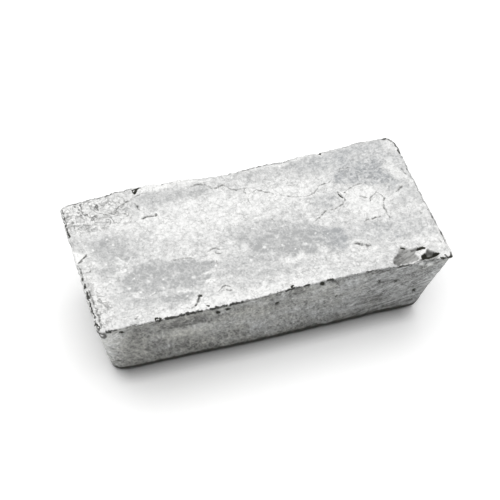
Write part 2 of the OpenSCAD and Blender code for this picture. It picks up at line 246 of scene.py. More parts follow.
# What the top face shows, in millimetres from its middle: x to the right, y to the back.
topFace = {
    "crestFall": 0.5,            # how far the crest of the rim falls to its outer edge
    "crestWidth": 1.8,
    "crustReach": (0.5, 6.0),    # where the roughness of the crust fades out, inwards
    "dishDepth": 1.2,
    "dishRun": 18.0,
    "granuleSize": 2.6,
    "granuleSeed": 401,
    "granuleHeight": 0.16,
    "granuleLeast": 0.12,        # share of the granules that is left on the dullest skin
    "wormHeight": 0.5,
    "wormCut": 0.8,              # depth of the grooves between worms, as a share of that height
    # noises: strength, size, octaves and seed
    "noises": {
        "warpX": (1.1, 5.0, 3, 301),         # bend the granules and the worms
        "warpY": (1.1, 5.0, 3, 331),
        "frayX": (1.4, 4.5, 3, 361),         # fray the outlines of the patches
        "frayY": (1.4, 4.5, 3, 391),
        "jagX": (0.45, 2.4, 2, 521),         # make the cracks, the holes and the scar jagged
        "jagY": (0.45, 2.4, 2, 551),
        "waves": (0.35, 36.0, 2, 21),
        "swells": (0.14, 9.0, 2, 51),
        "crustGrit": (0.32, 2.6, 3, 81),
        "crustLumps": (0.25, 7.0, 2, 111),
        "grit": (0.05, 1.5, 2, 491),
        "crackFade": (0.25, 4.0, 2, 591),
        "clouds": (0.16, 6.0, 3, 581),       # these two lighten and darken
        "dullClouds": (0.1, 3.0, 2, 631),
    },
    "worms": (2.6, 4.2, 1, 431),
    "wormGrooves": (4.0, 3.78, 1, 461),
    "strokes": (5.0, 5.0, 1, 601),
    "streaks": (0.65, 1.6, 3, 661),
    "shadeBreaks": (0.9, 4.0, 3, 571),
    # tone of the skin between the patches, and what each thing adds to it or takes from it
    "middleTone": 0.585,
    "dullTone": 0.65,
    "blueTone": 0.13,
    "brightTone": 0.45,
    "glowTone": 0.3,             # light skin beside cracks, holes and the pocket
    "wormyTone": 0.24,
    "wormTone": 0.25,
    "domeTone": 0.17,
    "strokeTone": 0.2,
    "notchTone": 1.5,
    "blueFrom": (20, 60),        # the dull skins turn bluish from here to here
    # dull skins: strength, softness of the edge and outline
    "dull": (
        (0.8, 0.8, ((-66, -7), (-60, -6), (-54, -7.5), (-50, -9.5), (-44, -9.5), (-36, -11.5), (-36, -15),
            (-27, -16), (-26, -20), (-31, -21), (-34, -23), (-31, -25), (-36, -29), (-40, -31),
            (-46, -30), (-55, -29), (-63, -29), (-72, -26), (-79, -24), (-80, -17), (-74, -12),
            (-70, -9))),
        (0.5, 3.0, ((-52, -20), (-44, -19), (-38, -21), (-36, -26), (-44, -29), (-50, -27))),
        (0.4, 3.0, ((-68, -14), (-58, -11), (-52, -14), (-54, -20), (-62, -22), (-70, -18))),
        (0.62, 4.0, ((-90, 16), (-82, 17), (-75, 14), (-69, 12), (-67, 4), (-66, -2), (-70, -4),
            (-77, -2), (-80, -8), (-84, -11), (-88, -8), (-86, 0), (-89, 6))),
        (0.52, 3.5, ((-80, -26), (-60, -30), (-42, -33.5), (-41, -36), (-46, -39), (-56, -41), (-62, -37),
            (-70, -36), (-76, -33))),
        (0.45, 1.5, ((-58, -35), (-50, -34), (-42, -34.5), (-43, -37), (-50, -39), (-57, -38))),
        (0.5, 2.0, ((-96, 30), (-91, 31), (-87, 27.5), (-83, 27), (-83, 22), (-88, 20.5), (-91, 24),
            (-97, 26))),
        (0.45, 2.0, ((-69, 35), (-62, 38), (-55, 40), (-48, 41), (-40, 40), (-30, 39.5), (-22, 39),
            (-17, 38.5), (-14, 34.5), (-20, 32), (-30, 33), (-40, 31), (-47, 29), (-50, 28.5), (-53, 30),
            (-57, 31), (-60, 33), (-64, 31), (-70, 32))),
        (0.45, 2.0, ((-24, 39.5), (-17, 38), (-14, 34.5), (-20, 33.5), (-25, 36))),
        (0.93, 2.5, ((-5, -8), (0, -7), (3, -5), (6, -5), (8, -4), (12, -3), (16, -2.5), (20, -4.5),
            (30, -5.5), (34, -7), (36, -9), (40, -10), (46, -11), (48, -13), (46, -16), (47, -19),
            (46, -26), (40, -27), (37, -26), (34, -20), (30, -20), (28, -24.5), (24, -25.5), (21, -22),
            (16, -24.5), (13, -21.5), (8, -22), (5, -18), (0, -18), (-4, -18), (-6, -14))),
        (0.5, 3.0, ((18, -8), (30, -9), (44, -12), (42, -17), (30, -17), (20, -15))),
        (0.6, 2.0, ((34, -9), (41, -10), (48, -13), (49, -18), (48, -25), (42, -26), (37, -20))),
        (0.45, 3.0, ((-17, 0), (-9, 2), (0, 4), (10, 6), (16, 3), (24, 0), (30, -2), (34, -6), (20, -8),
            (0, -9), (-5, -9), (-10, -7), (-14, -3))),
        (0.5, 2.0, ((-10, -3), (-4, -3.5), (-3, -8), (-9, -8))),
        (0.42, 4.0, ((-22, -14), (-10, -15), (-5, -18), (5, -20), (8, -24), (8, -30), (2, -34), (-6, -36),
            (-14, -34), (-20, -30), (-24, -22))),
        (0.25, 4.0, ((4, -30), (20, -28), (24, -34), (8, -36))),
        (0.86, 3.0, ((56, 28), (58, 31), (62, 38), (66, 39), (70, 36), (77, 36), (84, 34), (87, 30),
            (86, 25), (88, 21), (89, 17), (92, 12), (89, 9), (86, 8), (83, 12), (78, 13), (74, 15),
            (70, 17), (66, 18), (60, 20), (56, 21), (54, 24))),
        (0.6, 2.5, ((70, 29), (84, 30), (85, 20), (76, 17), (66, 20), (60, 24))),
        (0.6, 4.0, ((28, 39), (33, 42), (45, 42), (55, 43), (65, 45), (80, 46), (92, 44), (90, 38),
            (98, 30), (94, 28), (86, 31), (76, 37), (62, 35), (55, 32), (48, 31), (42, 33), (33, 36))),
        (0.35, 3.0, ((2, 41), (26, 42), (30, 36), (14, 34), (6, 36))),
        (0.4, 3.0, ((92, 27), (97, 33), (99, 20), (97, 14), (94, 20))),
        (0.35, 5.0, ((76, -12), (98, -14), (98, -32), (82, -28))),
        (0.35, 3.0, ((50, -14), (60, -11), (72, -13), (78, -20), (70, -26), (58, -23), (48, -20))),
        (0.55, 1.2, ((76, -23), (78, -27), (73, -28.5), (71.5, -25.5))),
        (0.35, 3.0, ((37, 12), (50, 14), (54, 10), (52, 5), (42, 4), (36, 7))),
        (0.3, 4.0, ((84, 10), (97, 8), (98, -4), (88, -2))),
    ),
    # bright, frosted skins, listed in the same way
    "bright": (
        (0.5, 6.0, ((-60, 20), (-46, 28), (-30, 31), (-12, 32), (0, 28), (8, 30), (22, 28), (40, 28),
            (52, 22), (40, 18), (24, 12), (6, 8), (-8, 4), (-22, 6), (-36, 4), (-50, 6))),
        (0.4, 3.0, ((-46, 0), (-38, 2), (-32, -6), (-38, -9), (-50, -7))),
        (0.6, 3.0, ((57, 13), (66, 16), (74, 14), (80, 4), (78, -8), (66, -9), (56, -4), (57, 6))),
        (0.7, 1.2, ((-69, -44), (-62, -43), (-50, -40), (-44, -39), (-38, -40), (-20, -41), (0, -40),
            (20, -42), (32, -42), (32, -48), (-69, -48))),
        (0.2, 4.0, ((-20, -38), (0, -36), (30, -34), (60, -30), (64, -42), (30, -44), (-20, -44))),
        (0.9, 1.0, ((7, -24), (10, -25), (14, -25.6), (20, -24.4), (22, -26), (18, -29), (9, -28))),
        (0.9, 1.0, ((-54, 42.5), (-44, 42), (-30, 42), (-20, 41.5), (-18, 44), (-22, 48), (-54, 48))),
        (0.8, 0.8, ((-19.5, 41.5), (-18, 42.5), (-16.5, 41), (-18, 39.8))),
        (0.7, 0.8, ((7, 42.6), (20, 42.9), (32, 42.3), (31, 41), (18, 41.4), (8, 41.2))),
        (0.7, 1.0, ((37, 44.5), (48, 44.7), (47, 43), (38, 42.6))),
        (0.4, 2.0, ((66, 31), (70, 35.5), (78, 35), (78, 32), (72, 30))),
        (0.5, 1.5, ((88, 27), (92, 28), (94, 20), (94, 12), (91, 12), (88, 20))),
        (0.8, 1.0, ((92.5, 43.5), (95, 44), (96.5, 39), (94, 38))),
        (0.5, 3.0, ((-98, -8), (-92, -10), (-89, -20), (-90, -33), (-94, -38), (-98, -36))),
        (0.4, 3.0, ((-74, 28), (-64, 30), (-58, 20), (-66, 16), (-76, 20))),
        (0.5, 3.0, ((84, -28), (98, -28), (98, -40), (88, -36), (78, -32))),
        (0.9, 0.8, ((79.5, -40.2), (83.5, -39.2), (86.2, -39.6), (84.6, -42), (82.4, -44.4), (80.8, -44),
            (81, -42))),
        (0.6, 0.6, ((-57, 32.6), (-55, 33), (-54.6, 31.2), (-56.4, 30.8))),
        (0.9, 0.6, ((67.5, -31), (69, -33), (73.5, -33.6), (73, -32.4), (69.6, -30.5))),
        (0.8, 0.8, ((75, -31), (78, -32.8), (78.4, -34.8), (76.8, -33.8), (74.8, -32.4))),
    ),
    # places with worm-like wrinkles
    "wormy": (
        (1.0, 5.0, ((-100, 44), (-80, 46), (-74, 40), (-78, 30), (-82, 21), (-92, 20), (-100, 24))),
        (0.7, 5.0, ((-80, 44), (-62, 46), (-60, 34), (-62, 20), (-80, 22))),
        (0.7, 4.0, ((-100, -8), (-92, -10), (-86, -40), (-88, -47), (-100, -47))),
        (0.35, 6.0, ((-86, -34), (-66, -38), (-64, -46), (-86, -47))),
        (0.45, 4.0, ((-32, -33), (-22, -33), (-20, -42), (-34, -42))),
        (0.4, 3.0, ((-31, -6), (-20, -6), (-19, -13), (-31, -14))),
        (0.35, 5.0, ((86, -6), (99, -6), (99, -46), (86, -30))),
        (0.3, 5.0, ((56, 36), (98, 44), (98, 16), (84, 6), (60, 22))),
    ),
    # white flecks: place and half size; a fleck's tone is fleckTone over its half size
    "fleckTone": 0.75,
    "fleckMost": 0.8,
    "scratchTone": 0.5,
    "flecks": (
        (-88.8, 8, 0.9), (-77.3, 9.3, 0.9), (-79.5, 14, 0.7), (-84, -3.2, 0.7), (-76, -22.4, 0.9),
        (-70.8, -26.6, 0.8), (-65, -20.6, 1.1), (-58.5, -27.3, 1.0), (-94, 16.2, 0.7), (-57, -21, 0.7),
        (-41, -24, 1.2), (-27.4, -19.5, 0.8), (11, -8, 1.8), (24, -18, 1.6), (12, -15.5, 1.0),
        (-8, -21, 0.9), (-72, -16.5, 0.6), (-88.5, -16.5, 1.0), (-48, -36, 0.6), (-33, -29, 1.4),
        (32, -12, 0.7), (2, -14, 1.1), (-27, -10.6, 0.9), (-22.6, -10.4, 0.7), (-27.6, -36.4, 0.9),
        (70, 24, 0.7), (80, 27, 0.7), (-90, -1, 0.8),
    ),
    # short bright scratches: ends and half width
    "scratches": (
        (-75, -28, -70.5, -31, 0.5), (-77.5, 0.5, -73, -5.5, 0.5), (-73, -5.5, -69, -1, 0.4),
        (-90.5, -28, -88.5, -32, 0.6), (-67, -30.5, -63.5, -28.5, 0.35), (-36, -23.5, -29, -22.8, 0.5),
        (-35, -28.6, -31, -29, 0.9), (-59, -30, -58.4, -33, 0.6), (-97.5, -25, -96, -31, 0.5),
        (-80, -10.5, -75, -9.5, 0.8), (-52, -31.5, -42, -33.4, 0.5),
    ),
    # cracks, painted dark as the shade in them: points, width, depth and darkness
    "cracks": (
        (((-29, 40.5), (-27, 39.8), (-20, 39.8), (-16.5, 38.5), (-14, 35.5), (-12, 34.8), (-7, 36),
            (-5.5, 35), (-4, 32.5), (-1, 30.8), (2, 30.8), (5, 31)), 0.6, 0.4, 0.54),
        (((4, 30.5), (3, 28.3), (4.5, 26), (8, 27), (11, 28.5)), 0.5, 0.25, 0.48),
        (((11, 28), (14.5, 25), (17, 24.5), (18.8, 22.5)), 0.55, 0.3, 0.55),
        (((22, 22), (24, 19.5), (27, 18), (31, 16.8), (36, 15.8), (41, 17), (43, 19), (46, 22),
            (51, 22.3), (54, 24)), 0.5, 0.3, 0.47),
        (((3, 24), (4, 19), (5.5, 16), (6.5, 12)), 0.4, 0.25, 0.4),
        (((28.5, 26.5), (33, 25.5), (36.5, 24.8)), 0.45, 0.2, 0.3),
        (((10.5, 7), (12.5, 3.5), (14, 2.5)), 0.45, 0.25, 0.4),
        (((16.5, 6), (19, 6), (23, 7.5)), 0.45, 0.25, 0.4),
        (((45, 16.3), (49, 16), (52, 13)), 0.4, 0.2, 0.3),
        (((53.7, 14.8), (54.5, 12.5), (55.7, 9.5)), 0.5, 0.4, 0.5),
        (((54.3, 12.2), (55.6, 9.7)), 0.8, 0.5, 0.9),
        (((55.7, 9.5), (56.5, 8), (54.5, 5.5), (51.5, 3.5), (47.5, 2.3), (43.5, 2.9), (41, 1), (37, -2),
            (33.5, -4)), 0.55, 0.3, 0.5),
        (((57.5, 12.5), (60, 14.5), (65, 16.7), (70, 17)), 0.5, 0.25, 0.5),
        (((65, 8), (67, 7), (69.5, 5.8)), 0.5, 0.3, 0.42),
        (((69.5, 2.5), (70.5, 4.8), (72.5, 6.5), (75.5, 8.8)), 0.5, 0.3, 0.54),
        (((75.5, 8.8), (77, 5.6), (78.3, 2.8), (76.2, -1), (75.4, -3.6), (75.8, -7), (75.6, -9),
            (76, -11.5)), 0.55, 0.35, 0.55),
        (((61, -10.5), (63, -9.8), (66.2, -10.2), (71.2, -9.2)), 0.55, 0.35, 0.6),
        (((66, 12), (70, 12)), 0.6, 0.2, 0.25),
        (((86, 5.5), (88, 7), (91, 8.7)), 1.0, 0.5, 0.5),
        (((95, 21), (95.6, 18), (96.3, 15)), 0.7, 0.3, 0.5),
        (((-79.5, 42), (-79, 38), (-78.8, 34.5), (-77.5, 32.3)), 0.6, 0.4, 0.34),
        (((-76.5, 32.6), (-74.5, 33.5), (-71, 31.2), (-69.5, 34), (-66.5, 36.3), (-62, 38), (-56, 40.5),
            (-52, 41.5)), 0.6, 0.4, 0.5),
        (((-74, 32.5), (-70, 29.5), (-66, 30.5), (-63.5, 27), (-61.5, 23.5), (-60, 20)), 0.5, 0.3, 0.35),
        (((-57, 24.3), (-54, 24.6), (-50, 24.3)), 0.65, 0.5, 0.75),
        (((-57, 24.1), (-56.3, 24.2)), 1.0, 0.5, 0.8),
        (((-49.6, 23.8), (-49, 25.4)), 0.9, 0.5, 0.8),
        (((-58.5, 36), (-57.4, 34), (-57.2, 31), (-55.8, 29.6)), 0.6, 0.4, 0.6),
        (((-99, -6.5), (-93.5, -6.5), (-92.5, -4.5)), 0.5, 0.4, 0.4),
        (((-46.4, -45), (-43.5, -41), (-41.6, -38)), 0.65, 0.5, 0.75),
        (((-41.8, -38), (-40.6, -37)), 1.0, 0.8, 1.0),
        (((-51, -43.7), (-48.5, -45), (-46, -44.5)), 0.6, 0.3, 0.5),
        (((-79, -44.8), (-76.5, -42.5)), 0.6, 0.3, 0.5),
        (((-66, -43.7), (-62.5, -42)), 0.7, 0.3, 0.45),
        (((-30.5, -37.5), (-29, -35), (-26.5, -34), (-23.5, -36)), 0.6, 0.45, 0.58),
        (((-26.5, -37.6), (-24, -38.6)), 0.8, 0.4, 0.65),
        (((-29, -9), (-25.5, -7), (-22, -9)), 0.6, 0.45, 0.6),
        (((-24.6, -9), (-24.6, -11.5), (-22, -12.3)), 0.55, 0.4, 0.52),
        (((-50, -9.3), (-45, -9.8), (-41, -9.7), (-38, -11), (-35.5, -11.7)), 0.5, 0.25, 0.42),
        (((59, 31), (60, 28.5), (62, 32), (64, 30.5), (70, 31)), 0.5, 0.2, 0.35),
        (((-30, -17), (-26.2, -16), (-26, -20)), 0.5, 0.2, 0.3),
        (((50.5, -24.4), (53, -25.6), (55.5, -26.6)), 1.3, 0.5, 0.55),
        (((56.4, -27.3), (58.2, -28)), 1.4, 0.6, 0.7),
        (((51, -23), (54, -23.2)), 0.4, 0.2, 0.35),
        (((95.5, -34.5), (97, -37.5)), 0.6, 0.3, 0.45),
        (((-92.9, 5.6), (-95.4, 3.6), (-98.6, 0.9)), 0.8, 0.4, 0.8),
        (((82, -46.4), (79, -46.7), (77, -47.0), (74, -47.2)), 0.6, 0.4, 0.6),
        (((70, -38.8), (73, -38.6), (76, -37.9)), 0.6, 0.2, 0.5),
        (((79, -37.6), (84, -37.8)), 0.9, 0.5, 0.75),
        (((96, -43), (98.5, -42)), 0.5, 0.2, 0.4),
        (((92.6, -11), (94, -14.5)), 0.6, 0.3, 0.3),
        (((-97.6, -18), (-97.2, -22), (-97.9, -24.5), (-96.8, -27), (-97.3, -30), (-96.4, -32.5),
            (-97, -35), (-96.2, -38), (-97, -40.5), (-96.4, -43), (-97.6, -45.5)), 0.7, 0.4, 0.6),
    ),
    # holes painted black as the shade in them, with hard edges: points and half width
    "holeDepth": 0.8,
    "holes": (
        (((83.4, -37.7), (86, -38.1)), 0.95),
        (((74.3, -33.9), (75.8, -34.7)), 0.55),
        (((54.2, 12.8), (55.0, 11.4), (55.7, 9.6)), 0.42),
        (((-56.6, 42.6), (-55.6, 44), (-53.6, 46.2), (-52.4, 46.4)), 0.75),
        (((-56.6, 42.6), (-57.6, 44.2), (-57.4, 45.6), (-54.6, 46)), 0.4),
        (((51.6, 45.2), (53.4, 44.8), (54, 43.8)), 0.4),
        (((92.4, -47.3), (93.6, -47.4)), 0.45),
        (((-99.6, -41.6), (-98.4, -42), (-97.8, -43.6), (-98.4, -45.2), (-99.4, -45.4)), 0.3),
        (((95.2, -46), (96.2, -48), (98, -47.6), (99, -45.5)), 0.4),
        (((7.2, -45.3), (8.3, -44.9)), 0.55),
        (((-68.8, -47.2), (-68, -46.4), (-66, -46.6), (-64.8, -47.6)), 0.35),
        (((-41, -37.4), (-40.6, -37)), 0.5),
        (((-39.6, -45.4), (-38.9, -46)), 0.4),
    ),
    # where a flake of skin has come away, and the pocket beside it
    "scar": ((65.8, -45), (66.3, -42.5), (67.3, -41), (69, -39.6), (70.5, -38.6), (71.8, -36.5),
        (73, -35.2), (73.6, -33.3), (74.2, -32.4), (75, -33.6), (76.6, -34.5), (77, -36.4), (80, -36.9),
        (84.5, -37), (84, -39), (80.4, -39.4), (79.4, -40.5), (80, -42), (81, -44.8), (80.6, -46.4),
        (75, -47.0), (70, -46.6), (68.5, -47.4), (67.2, -46.4)),
    "scarDepth": 1.0,
    # where the edge of the scar catches the light
    "litEdge": ((68, -46.8), (72, -46.1), (76, -46.4), (80, -46), (82, -44.9)),
    # ledge of the chip in the left rim
    "notch": ((-102, 15), (-99.3, 13), (-93.4, 5.8), (-99.4, 1.2), (-102, 0.2)),
    "notchStep": 0.8,
    "notchSlope": 0.28,
    "notchCrest": -93.6,         # the ledge falls outwards from here
    "pocket": ((81.6, -44.8), (82.6, -43.6), (84, -42.2), (85.6, -41.8), (86.6, -40.2), (87.6, -39.4),
        (88.6, -41), (89.6, -41.3), (90.6, -43), (92.2, -43.9), (92.8, -44.8), (91, -45.7), (88.5, -46.5),
        (85, -46.6), (82, -46.6)),
    "pocketDepth": 3.2,
    "pocketGrey": (87.6, -41.6),             # grey place on its floor
    # painted shade of the crease along the rim, a dark line: how far below the front crest and inside the
    # other crests it runs, its squashing down the wall, and the borders of the front stretch
    "lineDrop": 0.45,
    "lineInset": 0.4,
    "lineSquash": 0.45,
    "lineFront": (45.0, 45.9),
    "lineEnds": (97.5, 99.5),
    # its marks on each side: place, half length and strength
    "rimBase": (0.34, 0.36, 0.24, 0.4),      # strength everywhere on the front, right, back and left
    "frontShade": ((-92, 3.2, 0.75), (-77, 8, 0.42), (-66.5, 2.2, 0.68), (-60, 3.5, 0.9), (-54, 4, 0.85),
        (-47, 4.5, 0.8), (-40.5, 1, 0.4), (-34, 5, 0.9), (-24, 4, 0.85), (-10, 11, 0.42), (1.5, 3, 0.6),
        (5.6, 2.6, 0.9), (7.8, 1.2, 1.0), (11.2, 1.8, 0.75), (15.6, 2, 0.85), (29, 2.2, 0.85),
        (43.5, 2, 0.5), (51.5, 2.5, 0.6), (60, 6, 0.45), (68.5, 0.8, 0.9), (75, 6, 0.55), (86.5, 5, 0.5),
        (96, 3, 0.6)),
    "rightShade": ((-34, 5, 0.6), (-18, 6, 0.65), (3, 12, 0.4), (20, 3, 0.5), (37, 5, 0.7), (43, 4, 0.8)),
    "backShade": ((-96, 5, 0.6), (-86.5, 4.5, 0.65), (-77, 3, 0.6), (-71, 2.5, 0.7), (-66.8, 1.6, 0.85),
        (-61, 4, 0.45), (-40, 0.8, 0.6), (-34.5, 1.2, 0.6), (-18.5, 1.5, 0.4), (-1, 1.4, 0.6),
        (3, 1.4, 0.5), (12, 6, 0.65), (26, 9, 0.65), (33, 2, 0.7), (53, 1.8, 0.8), (69, 2, 0.4),
        (78, 4, 0.35), (96, 4, 0.8)),
    "leftShade": ((-43, 4, 0.7), (-34, 4, 0.65), (-24.5, 6, 0.9), (-15.5, 2, 0.85), (-6, 6, 0.6),
        (26, 6, 0.8), (36, 5, 0.6)),
    "shadeGaps": ((-17.8, 0.9), (6, 5.4)),     # on the left: place and half length without any line
}


# How strong a row of listed patches is: one less the product of what each leaves, with every
# outline softened over its own width.
def patches(x, y, listed):
    left = 1
    for strength, soft, outline in listed:
        left = left * (1 - strength * step(depthInOutline(x, y, outline), -soft, soft))
    return 1 - left


# Strength of the painted shade line at each place of the rim: the listed marks fade out past their
# half lengths over half a millimetre.
def shadeAlong(place, marks):
    rimShade = place * 0
    for middle, half, strength in marks:
        rimShade = np.maximum(rimShade, strength * (1 - step(np.abs(place - middle), half - 0.5, half + 0.5)))
    return rimShade


# Painted shade line of the four sides: each has a weak base and its marks, broken up by noise, and
# the sides are told apart by which edge of the bar is nearest.
def rimShadeLine(x, y):
    f = topFace
    broken = 0.5 + listedNoise(x, y, x * 0, f["shadeBreaks"])
    rimShades = []
    for base, place, name in zip(f["rimBase"], (x, y, x, y), ("frontShade", "rightShade", "backShade", "leftShade")):
        marked = shadeAlong(place, f[name]) * np.clip(0.75 + 0.5 * broken, 0, 1.1)
        rimShades.append(np.maximum(base * np.clip(broken, 0, 1.3), marked))
    front, right, back, left = rimShades
    for middle, half in f["shadeGaps"]:
        left = left * step(np.abs(y - middle), half - 0.4, half + 0.4)
    atEnd = bar["length"] / 2 - np.abs(x) < bar["width"] / 2 - np.abs(y)
    rimShade = np.where(atEnd, np.where(x > 0, right, left), np.where(y > 0, back, front))
    return np.clip(rimShade, 0, 1)


# Distance across the painted shade line of the rim from its middle: on the front it runs just below
# the crest and is measured shorter down the wall, elsewhere it runs just inside the crest.
def lineGap(x, y, edge):
    f = topFace
    alongFront = step(listedPull(x, bar["frontPull"]) - y, *f["lineFront"])
    onFront = alongFront * (1 - step(np.abs(x), *f["lineEnds"]))
    frontGap = np.where(edge > 0, edge, f["lineSquash"] * edge) + f["lineDrop"]
    return onFront * frontGap + (1 - onFront) * (edge - f["lineInset"])


# Cracks: along each path the depth falls off as a bell, and the painted shade as a wedge, both
# narrower towards the path's ends. Returned with them is the light skin beside the cracks.
def crackCuts(x, y, fade):
    cut, crack, glow = x * 0, x * 0, x * 0
    for path, width, depth, darkness in topFace["cracks"]:
        away, place = distanceToPath(x, y, path)
        narrow = width * (0.55 + 0.45 * step(np.minimum(place, 1 - place), 0, 0.2))
        cut += depth * np.exp(-(away / narrow) ** 2)
        crack = np.maximum(crack, (0.38 + 0.7 * darkness) * fade * np.clip(1 - away / (2.8 * narrow), 0, 1))
        glow = np.maximum(glow, darkness * np.exp(-(away / (2.6 * width)) ** 2))
    return cut, crack, glow


# Holes: flat pits along each path, with steep sides, painted black as shade, and the light skin
# around them.
def holeCuts(x, y):
    cut, hole, glow = x * 0, x * 0, x * 0
    for path, half in topFace["holes"]:
        away, _ = distanceToPath(x, y, path)
        pit = 1 - step(away, 0.5 * half, 1.5 * half)
        cut += topFace["holeDepth"] * pit
        hole = np.maximum(hole, pit)
        glow = np.maximum(glow, np.exp(-(away / (half + 1.2)) ** 2))
    return cut, hole, glow


# White flecks, the small ones brighter, and short bright scratches.
def lightMarks(x, y):
    f = topFace
    light = x * 0
    for cx, cy, half in f["flecks"]:
        strength = min(f["fleckMost"], f["fleckTone"] / half)
        light = np.maximum(light, strength * (1 - step(np.hypot(x - cx, y - cy), 0.4 * half, 1.3 * half)))
    for ax, ay, bx, by, half in f["scratches"]:
        away, _ = distanceToPath(x, y, ((ax, ay), (bx, by)))
        light = np.maximum(light, f["scratchTone"] * (1 - step(away, 0.4 * half, 1.5 * half)))
    return light


# Height of the top face above its level, and its masks. The height is a shallow dish with
# long waves and short swells; granules are domes on random cells, worms are ridges where a
# noise crosses zero, and cracks, holes, scar and pocket are cut down from that.
# edge is how far each point lies inside the rim.
def topSurface(x, y, edge):
    f = topFace
    none = x * 0
    noise = {name: listedNoise(x, y, none, listed) for name, listed in f["noises"].items()}
    warpX, warpY = x + noise["warpX"], y + noise["warpY"]
    frayX, frayY = x + noise["frayX"], y + noise["frayY"]
    jagX, jagY = x + noise["jagX"], y + noise["jagY"]
    dull, bright, wormy = (patches(frayX, frayY, f[name]) for name in ("dull", "bright", "wormy"))

    height = (noise["waves"] - f["dishDepth"]) * step(edge, 0, f["dishRun"]) + noise["swells"]
    height -= f["crestFall"] * (1 - step(edge, 0, f["crestWidth"])) ** 2
    height += (1 - step(edge, *f["crustReach"])) * (noise["crustGrit"] + noise["crustLumps"])

    nearest, owner = cellNoise(warpX, warpY, f["granuleSize"], f["granuleSeed"])
    grain = np.clip(1 - dull + 0.3 * bright, f["granuleLeast"], 1) * (1 - 0.6 * wormy)
    dome = np.clip(1 - (nearest / f["granuleSize"]) ** 2 * 1.6, 0, 1)
    height += grain * f["granuleHeight"] * (0.5 + owner) * dome
    worm = np.clip(1 - np.abs(listedNoise(warpX, warpY, none, f["worms"])), 0, 1)
    wormGroove = np.clip(1 - np.abs(listedNoise(warpX, warpY, none, f["wormGrooves"])), 0, 1)
    height += wormy * f["wormHeight"] * (worm - f["wormCut"] * wormGroove)
    height += (1 + grain) * noise["grit"]

    # the cracks and holes are cut shallow and their shade is painted into the colour
    crackCut, crack, crackGlow = crackCuts(jagX, jagY, 1 + noise["crackFade"])
    holeCut, hole, holeGlow = holeCuts(jagX, jagY)
    scar = step(depthInOutline(jagX, jagY, f["scar"]), -0.35, 0.35)
    inside = depthInOutline(jagX, jagY, f["pocket"])
    pocket = step(inside, -0.45, 0.45)
    height -= crackCut + holeCut + f["scarDepth"] * scar + f["pocketDepth"] * step(inside, -0.3, 1.6)
    notch = step(depthInOutline(x + 0.4 * noise["jagX"], y + 0.4 * noise["jagY"], f["notch"]), -0.2, 0.35)
    height -= notch * (f["notchStep"] + f["notchSlope"] * np.maximum(0, f["notchCrest"] - x))

    # the pocket is painted black as shade but for a grey place on its floor, darker along its front,
    # and has a light rim
    greyX, greyY = f["pocketGrey"]
    greyFloor = 1 - step(np.hypot(0.7 * (jagX - greyX), jagY - greyY), 1.0, 2.4)
    hole = np.maximum(hole, pocket * (1 - greyFloor))
    # painted shade: in the grooves between the worms and in the pocket
    dark = np.maximum(0.25 * wormy * wormGroove ** 2, (0.9 - 0.1 * greyFloor) * pocket)
    dark = np.maximum(dark, 0.55 * step(inside, -1.6, -0.6) * step(-y, 45.6, 46.6))
    glow = np.maximum(crackGlow, holeGlow)
    glow = np.maximum(glow, 0.9 * np.exp(-(np.maximum(-inside, 0) / 1.2) ** 2))

    blue = dull * step(x, *f["blueFrom"])
    tone = f["middleTone"] - (f["dullTone"] - f["blueTone"] * blue) * dull + f["brightTone"] * bright
    tone += f["glowTone"] * glow + lightMarks(jagX, jagY)
    tone += wormy * (f["wormTone"] * (worm - 0.4) + f["wormyTone"] * (1 - 0.5 * dull))
    tone += (1 - 0.45 * dull) * noise["clouds"] + f["domeTone"] * grain * (dome - 0.55)
    stroke = np.clip(1 - np.abs(listedNoise(warpX + 0.4 * y, warpY, none, f["strokes"])), 0, 1)
    tone += dull * (f["strokeTone"] * stroke + noise["dullClouds"])
    tone += notch * (f["notchTone"] - tone)

    # the scar is streaked and lighter to the right, and stops short of its lit edge
    streak = listedNoise(0.3 * x + 0.15 * y, y - 0.45 * x, none, f["streaks"])
    scarTone = 0.15 + 0.3 * step(x, 66.5, 69) + 0.45 * step(x + 0.3 * y, 57, 66) + streak
    tone += scar * (scarTone - tone)
    lit, _ = distanceToPath(jagX, jagY, f["litEdge"])
    return height, {
        "tone": np.clip(tone, 0, 1.5),
        "wormy": wormy * (1 - notch),
        "crack": np.clip(crack, 0, 1),
        "dark": np.clip(dark, 0, 1),
        "hole": np.clip(hole, 0, 1),
        "frost": np.clip(grain * (1 - notch), 0, 1),
        "scar": np.clip(scar * step(lit, 0.1, 0.6) - pocket, 0, 1),
        "wall": none,
        "blue": blue,
        "rimShade": rimShadeLine(x, y),
        "line": np.minimum(lineGap(x, y, edge), 6),
    }


